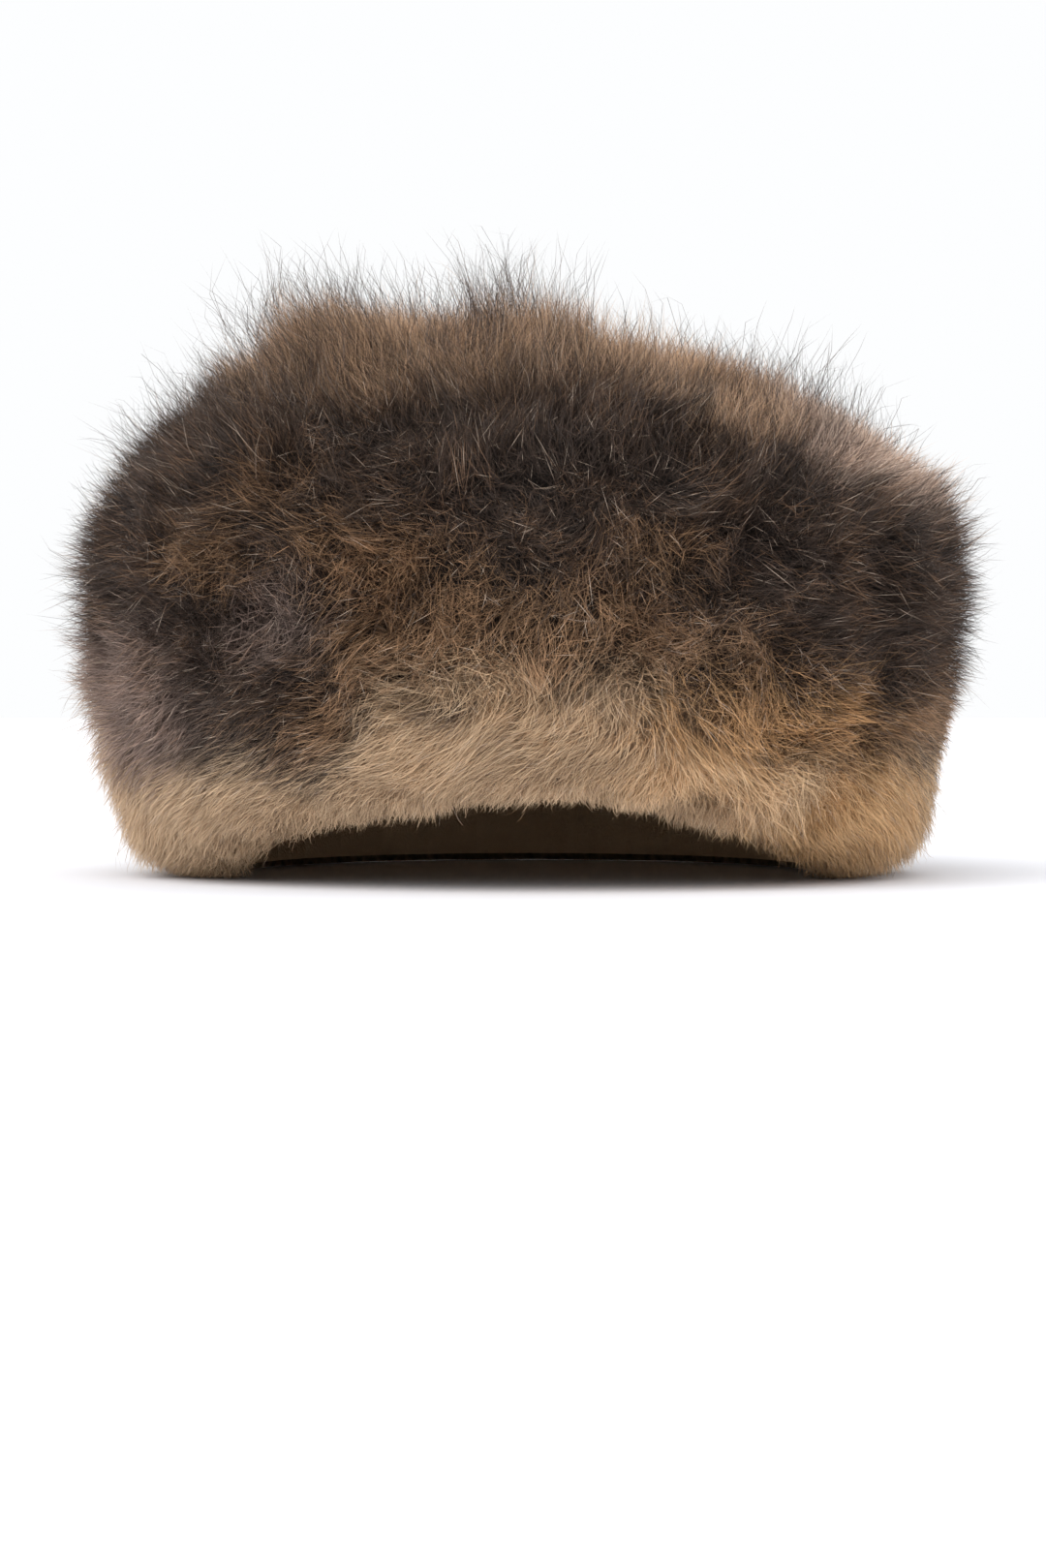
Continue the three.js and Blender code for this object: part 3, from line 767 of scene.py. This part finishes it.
    # Each point of a hair knows how far across (x) and along (z) the flat hair it lies.
    flat = add(tree, "ShaderNodeVectorMath", {0: place, 1: here["root"]}, operation="SUBTRACT")
    split = add(tree, "ShaderNodeSeparateXYZ", {0: here["flat"]})
    across, along = split.outputs["X"], split.outputs["Z"]
    for name, kind, value in [("flat", "FLOAT_VECTOR", flat), ("along", "FLOAT", along)]:
        stored = {"Geometry": hairs, "Name": name, "Value": value}
        hairs = add(tree, "GeometryNodeStoreNamedAttribute", stored, data_type=kind, domain="POINT")

    # The hair leaves along one direction and bends over towards its tip.
    square = add(tree, "ShaderNodeMath", {0: along, 1: along}, operation="MULTIPLY")
    middle = add(tree, "ShaderNodeMath", {0: along, 1: square}, operation="SUBTRACT")
    middle = add(tree, "ShaderNodeMath", {0: middle, 1: 2.0}, operation="MULTIPLY")
    spot = add(tree, "ShaderNodeVectorMath", {0: here["leave"], "Scale": middle}, operation="SCALE")
    for bend, share in ((here["bulge"], middle), (here["reach"], square)):
        spot = add(tree, "ShaderNodeVectorMath", {0: bend, 1: share, 2: spot}, operation="MULTIPLY_ADD")
    grown = {0: spot, 1: here["growth"], 2: here["root"]}
    grown = add(tree, "ShaderNodeVectorMath", grown, operation="MULTIPLY_ADD")
    drawn = {0: here["draw"], 1: square, 2: grown}
    drawn = add(tree, "ShaderNodeVectorMath", drawn, operation="MULTIPLY_ADD")

    # Curl bends whole locks the same way, and frizz parts their hairs.
    spot = drawn
    curl = (given["Curl Size"], given["Curl"], CURL_PLACE)
    frizz = (FRIZZ_PER_METRE, given["Frizz"], FRIZZ_PLACE)
    for scale, amount, noise_place in (curl, frizz):
        waves = {"Vector": drawn, "W": noise_place, "Scale": scale, "Detail": 1.0}
        noise = add(tree, "ShaderNodeTexNoise", waves, noise_dimensions="4D").outputs["Color"]
        swing = add(tree, "ShaderNodeVectorMath", {0: noise, 1: (0.5, 0.5, 0.5)}, operation="SUBTRACT")
        for share in (along, here["loose"]):
            amount = add(tree, "ShaderNodeMath", {0: amount, 1: share}, operation="MULTIPLY")
        spot = add(tree, "ShaderNodeVectorMath", {0: swing, 1: amount, 2: spot}, operation="MULTIPLY_ADD")

    # Width lies across the hair and its own roll, and narrows to the tip.
    forward = {0: here["reach"], 1: along, 2: here["leave"]}
    forward = add(tree, "ShaderNodeVectorMath", forward, operation="MULTIPLY_ADD")
    side = add(tree, "ShaderNodeVectorMath", {0: forward, 1: here["roll"]}, operation="CROSS_PRODUCT")
    side = add(tree, "ShaderNodeVectorMath", {0: side}, operation="NORMALIZE")
    taper = add(tree, "ShaderNodeMath", {0: along, 1: TAPER, 2: 1.0}, operation="MULTIPLY_ADD")
    half = across
    for share in (given["Width"], taper):
        half = add(tree, "ShaderNodeMath", {0: half, 1: share}, operation="MULTIPLY")
    spot = add(tree, "ShaderNodeVectorMath", {0: side, 1: half, 2: spot}, operation="MULTIPLY_ADD")

    # Hair that would go through the ground lies on it, and no wisp stands higher than the tallest.
    x, y, z = add(tree, "ShaderNodeSeparateXYZ", {0: spot}).outputs
    level = add(tree, "ShaderNodeClamp", {"Value": z, "Min": GROUND_GAP, "Max": TALLEST * MM})
    spot = add(tree, "ShaderNodeCombineXYZ", {0: x, 1: y, 2: level})
    hairs = add(tree, "GeometryNodeSetPosition", {"Geometry": hairs, "Position": spot})

    # Each hair has a cell of its own in a map that the finish can be baked to.
    count = given["Bake Cells Across"]
    row = add(tree, "ShaderNodeMath", {0: here["cell"], 1: count}, operation="DIVIDE")
    row = add(tree, "ShaderNodeMath", {0: row}, operation="FLOOR")
    column = add(tree, "ShaderNodeMath", {0: here["cell"], 1: count}, operation="MODULO")
    u = add(tree, "ShaderNodeMath", {0: across, 1: CELL_WIDE, 2: CELL_MIDDLE}, operation="MULTIPLY_ADD")
    u = add(tree, "ShaderNodeMath", {0: u, 1: column}, operation="ADD")
    v = add(tree, "ShaderNodeMath", {0: along, 1: CELL_HIGH, 2: CELL_FOOT}, operation="MULTIPLY_ADD")
    v = add(tree, "ShaderNodeMath", {0: v, 1: row}, operation="ADD")
    cell_uv = add(tree, "ShaderNodeCombineXYZ", {0: u, 1: v})
    cell_uv = add(tree, "ShaderNodeVectorMath", {0: cell_uv, 1: count}, operation="DIVIDE")
    stored = {"Geometry": hairs, "Name": "OFBake", "Value": cell_uv}
    hairs = add(tree, "GeometryNodeStoreNamedAttribute", stored, data_type="FLOAT2", domain="CORNER")
    hairs = add(tree, "GeometryNodeSetMaterial", {"Geometry": hairs, "Material": given["Finish"]})
    ending = tree.nodes.new("NodeGroupOutput")
    tree.links.new(hairs.outputs["Geometry"], ending.inputs[0])
    return tree


grow_coat = coat_tree()
# A hair of n segments has 2n - 2 triangles.
coat_hair = hair_template(segments=2)
guard_hair = hair_template(segments=4)


def grow(name, patch, sizes):
    """Runs the tree on a patch and keeps the result as a plain mesh."""
    modifier = patch.modifiers.new("coat", "NODES")
    modifier.node_group = grow_coat
    for item in grow_coat.interface.items_tree:
        if item.in_out == "INPUT" and item.name in sizes:
            modifier[item.identifier] = sizes[item.name]
    graph = bpy.context.evaluated_depsgraph_get()
    mesh = bpy.data.meshes.new_from_object(patch.evaluated_get(graph))
    bpy.data.objects.remove(patch)
    for working in WORKING_VECTORS + WORKING_NUMBERS:
        mesh.attributes.remove(mesh.attributes[working])
    mesh.name = name
    return add_object(name, mesh)


# Borders between pieces wind from row to row in waves: faces to each side, turn for each row and start.
BORDER_WAVES = [(3, 1.1, 0), (2, 2.7, 1)]


def patch_of(coat, rows, turns):
    """The faces of a whole coat's surface in a range of rows and a range of turns, with winding borders."""
    kept = np.zeros((last_row, AROUND), bool)
    for row in rows:
        winding = round(sum(faces * math.sin(turn * row + start) for faces, turn, start in BORDER_WAVES))
        kept[row, [(turn + winding) % AROUND for turn in turns]] = True
    mesh = coat.copy()
    shape = bmesh.new()
    shape.from_mesh(mesh)
    shape.faces.ensure_lookup_table()
    spare = [face for face, keep in zip(shape.faces[:], kept.ravel()) if not keep]
    bmesh.ops.delete(shape, geom=spare, context="FACES")
    shape.to_mesh(mesh)
    shape.free()
    return add_object("patch", mesh)


outside = [(row, row + 1) for row in range(last_row)]
whole_mesh = closed_mesh("whole_coat", coat_grid, outside)
comb_coat(whole_mesh, coat_grid, coat_out, np.ones(coat_grid.shape[:2]), coat_crowding(coat_grid))
whole_coat = add_object("whole_coat", whole_mesh)
guard_mesh = closed_mesh("guard_coat", coat_grid, outside)
overhang, crowding = guard_overhang(coat_grid, coat_out), guard_crowding(coat_grid, coat_out)
comb_coat(guard_mesh, coat_grid, coat_out, overhang, crowding)

band_rows, crown_rows = range(1, SEAM_ROW), range(SEAM_ROW, last_row)
QUARTER = AROUND // 4
QUARTERS = {"front": 0, "left": 1, "back": 2, "right": 3}
HALVES = {"front": 0, "back": 1}

# Real hairs are 0.02 to 0.1 mm wide. These are drawn as wide as they need to be to show, and fewer.
BAND_COAT = {
    "Whole Coat": whole_coat,
    "One Hair": coat_hair,
    "Hairs per Square Metre": 4.0e6,
    "Locks per Square Metre": 30000.0,
    "Shortest": 0.52,
    "Width": 0.24 * MM,
    "Drawn Together": 0.45,
    "Curl": 32 * MM,
    "Curl Size": 42.0,
    "Frizz": 8 * MM,
    "Stray": 6.5 * MM,
    "Bake Cells Across": 310.0,
    "Finish": fur_hair,
}
CROWN_COAT = {**BAND_COAT, "Hairs per Square Metre": 5.6e6, "Curl": 44 * MM, "Stray": 11 * MM}
GUARD_COAT = {
    **BAND_COAT,
    "One Hair": guard_hair,
    "Hairs per Square Metre": 7.5e4,
    "Shortest": 0.6,
    "Width": 0.15 * MM,
    "Drawn Together": 0.2,
    "Frizz": 12 * MM,
    "Stray": 12 * MM,
    "Bake Cells Across": 140.0,
    "Finish": guard_fur,
}
CROWN_SEED, GUARD_SEED = 7, 20
coat_pieces = []
for name, quarter in QUARTERS.items():
    start = int((quarter - 0.5) * QUARTER)
    patch = patch_of(whole_mesh, band_rows, range(start, start + QUARTER))
    coat_pieces.append(grow("band_hair_" + name, patch, {**BAND_COAT, "Seed": quarter}))
for name, half in HALVES.items():
    start = int((2 * half - 1) * QUARTER)
    patch = patch_of(whole_mesh, crown_rows, range(start, start + 2 * QUARTER))
    coat_pieces.append(grow("crown_hair_" + name, patch, {**CROWN_COAT, "Seed": CROWN_SEED + half}))
patch = patch_of(guard_mesh, range(1, last_row), range(AROUND))
coat_pieces.append(grow("guard_hair", patch, {**GUARD_COAT, "Seed": GUARD_SEED}))

for piece in coat_pieces:
    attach(piece, "root")

# The undercoat: a closed solid under the hair, for the band and for the crown
UNDERCOAT_MIDDLE = (0, 0, 70)  # its points face away from here
band_grid = oval_grid(np.vstack([coat_rows[: SEAM_ROW + 1], BAND_INNER]))
count = len(band_grid)
band_mesh = closed_mesh("band_undercoat", band_grid, [(i, (i + 1) % count) for i in range(count)])
crown_grid = oval_grid(np.vstack([CROWN_UNDER, coat_rows[SEAM_ROW:]]))
crown_mesh = closed_mesh("crown_undercoat", crown_grid, [(i, i + 1) for i in range(len(crown_grid) - 1)])
for mesh, grid, node in ((band_mesh, band_grid, "band_fur"), (crown_mesh, crown_grid, "crown_fur")):
    out = unit(grid - np.array(UNDERCOAT_MIDDLE))
    leave, reach = hair_vectors(grid, out)
    store_on_points(mesh, coat_tints(grid + TINT_REACH * reach, out))
    mesh.materials.append(underfur)
    mesh.polygons.foreach_set("use_smooth", [True] * len(mesh.polygons))
    piece = add_object(mesh.name, mesh)
    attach(piece, "root")
    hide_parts(node)

for name in ("band_skin", "crown_skin"):
    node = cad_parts[name]
    node.data.materials.clear()
    node.data.materials.append(suede)

for helper in (whole_coat, coat_hair, guard_hair):
    bpy.data.objects.remove(helper)

# Floor, light and camera
FLOOR_RADIUS, FLOOR_SIDES = 12000 * MM, 64
turns = np.linspace(0, 2 * math.pi, FLOOR_SIDES, endpoint=False)
ring = [(FLOOR_RADIUS * math.sin(turn), FLOOR_RADIUS * math.cos(turn), 0) for turn in turns]
floor_mesh = bpy.data.meshes.new("floor")
floor_mesh.from_pydata(ring[::-1], [], [tuple(range(FLOOR_SIDES))])
floor = add_object("floor", floor_mesh)
floor_mesh.materials.append(paper)

scene = bpy.context.scene
world = bpy.data.worlds.new("studio")
scene.world = world
world.use_nodes = True
world.node_tree.nodes["Background"].inputs["Color"].default_value = linear("#fdfeff")
scene.view_settings.view_transform = "Standard"

# Daylight from one broad window, high in front and a little to the left. Angles in degrees.
WINDOW_POWER, WINDOW_HEIGHT, WINDOW_TURN, WINDOW_SOFTNESS = 2.0, 48, -25, 60
window = bpy.data.lights.new("window", "SUN")
window.energy = WINDOW_POWER
window.angle = math.radians(WINDOW_SOFTNESS)
window_object = add_object("window", window)
window_object.rotation_euler = (math.radians(90 - WINDOW_HEIGHT), 0, math.radians(WINDOW_TURN))

# The photograph's frame is 1080 by 1619 pixels.
PHOTO_WIDTH, PHOTO_HEIGHT = 1080, 1619
HAT_MIDDLE_PIXEL = (544, 612)
PIXELS_PER_METRE = 3620
HAT_MIDDLE = Vector((AXIS_X, 0, 80 * MM))
CAMERA_DISTANCE = 1200 * MM
CAMERA_RISE = math.radians(-1.5)
SENSOR = 36

focal_pixels = PIXELS_PER_METRE * CAMERA_DISTANCE
camera = bpy.data.cameras.new("camera")
camera.sensor_width = SENSOR
camera.lens = focal_pixels * SENSOR / PHOTO_HEIGHT
camera_object = add_object("camera", camera)
scene.camera = camera_object
away = Vector((0, -math.cos(CAMERA_RISE), math.sin(CAMERA_RISE)))
camera_object.location = HAT_MIDDLE + away * CAMERA_DISTANCE
pixels_up = PHOTO_HEIGHT / 2 - HAT_MIDDLE_PIXEL[1]
pixels_right = HAT_MIDDLE_PIXEL[0] - PHOTO_WIDTH / 2
pitch = CAMERA_RISE + math.atan(pixels_up / focal_pixels)
camera_object.rotation_euler = (math.pi / 2 - pitch, 0, math.atan(pixels_right / focal_pixels))
